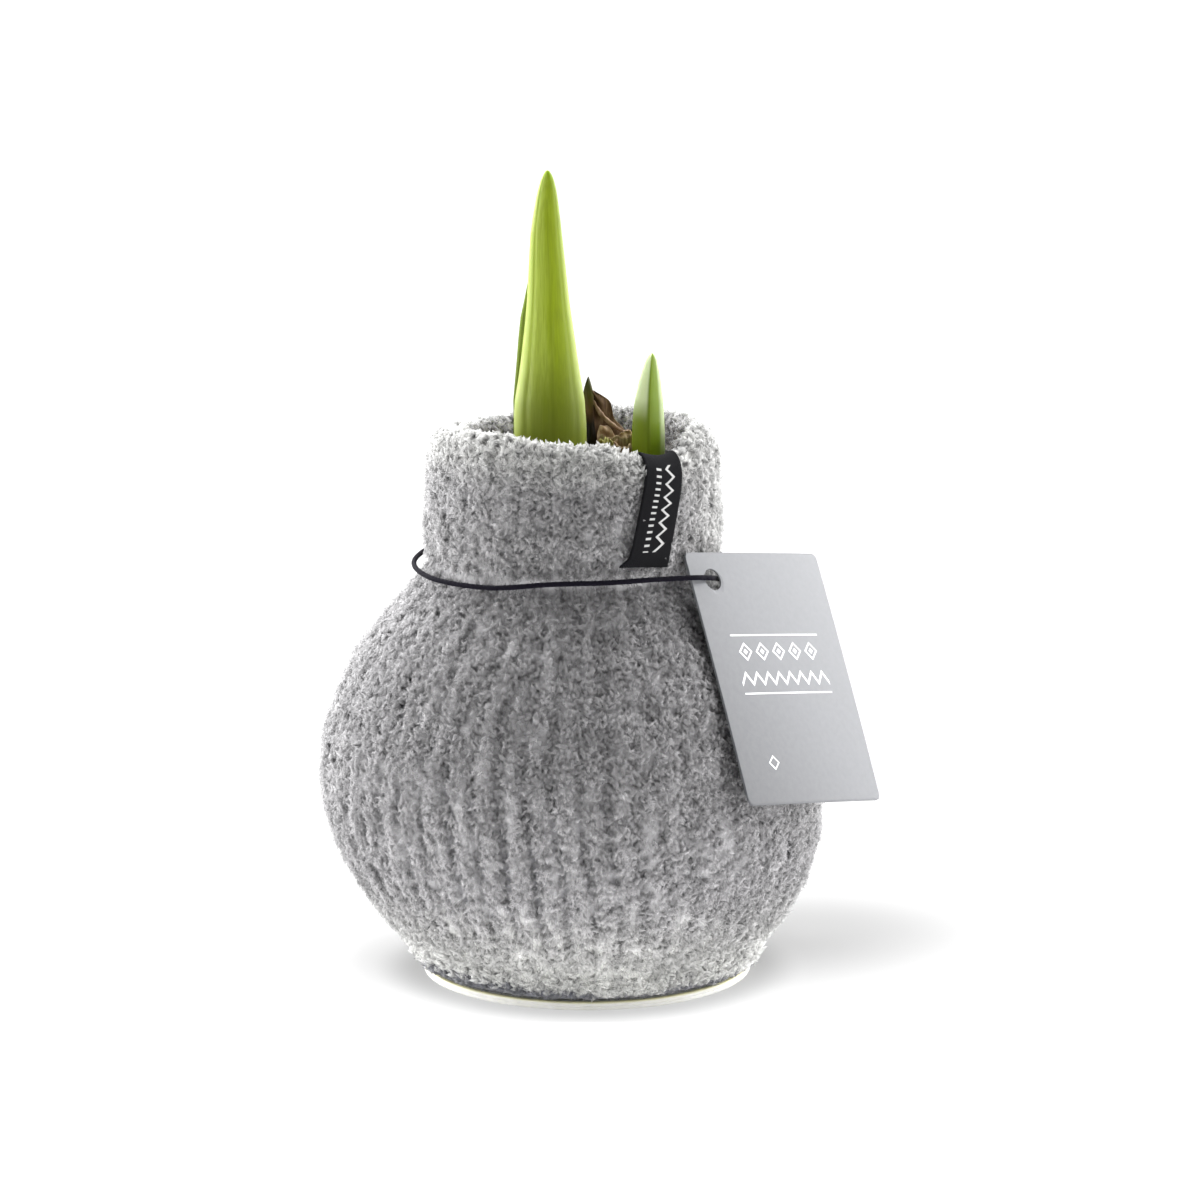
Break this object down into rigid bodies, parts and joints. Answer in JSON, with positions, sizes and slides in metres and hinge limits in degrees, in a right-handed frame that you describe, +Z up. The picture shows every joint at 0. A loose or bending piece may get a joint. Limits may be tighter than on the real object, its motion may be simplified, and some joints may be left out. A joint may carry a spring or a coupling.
{
  "type": "potted flower bulb",
  "caption": "Amaryllis bulb wrapped in a chenille knit sleeve with a turned-down cuff, on a round base disc, with a tall shoot, a side shoot, a folded label and a corded card tag.",
  "frame": {"origin": "centre of the base disc's underside, on the surface that the object stands on", "axes": "+Z up along the bulb, -Y the front with the label to its right, +X the side on which the tag hangs"},
  "size_m": [0.1115, 0.1, 0.162],
  "materials": {
    "disc": "ivory, satin, with a fine groove round the rim",
    "knit": "grey chenille knit with dense soft pile",
    "tunic": "dry papery brown bulb scales",
    "leaf": "waxy yellow-green leaf, satin gloss",
    "label": "black woven ribbon",
    "cord": "dark braided elastic",
    "card": "silver-grey coated card, soft gloss"
  },
  "bodies": {
    "root": {"base_disc": "disc", "knit_sleeve": "knit", "bulb": "tunic", "leaf_front": "leaf", "leaf_back": "leaf", "side_shoot": "leaf", "woven_label": "label", "elastic_cord": "cord", "hang_tag": "card"}
  },
  "joints": []
}
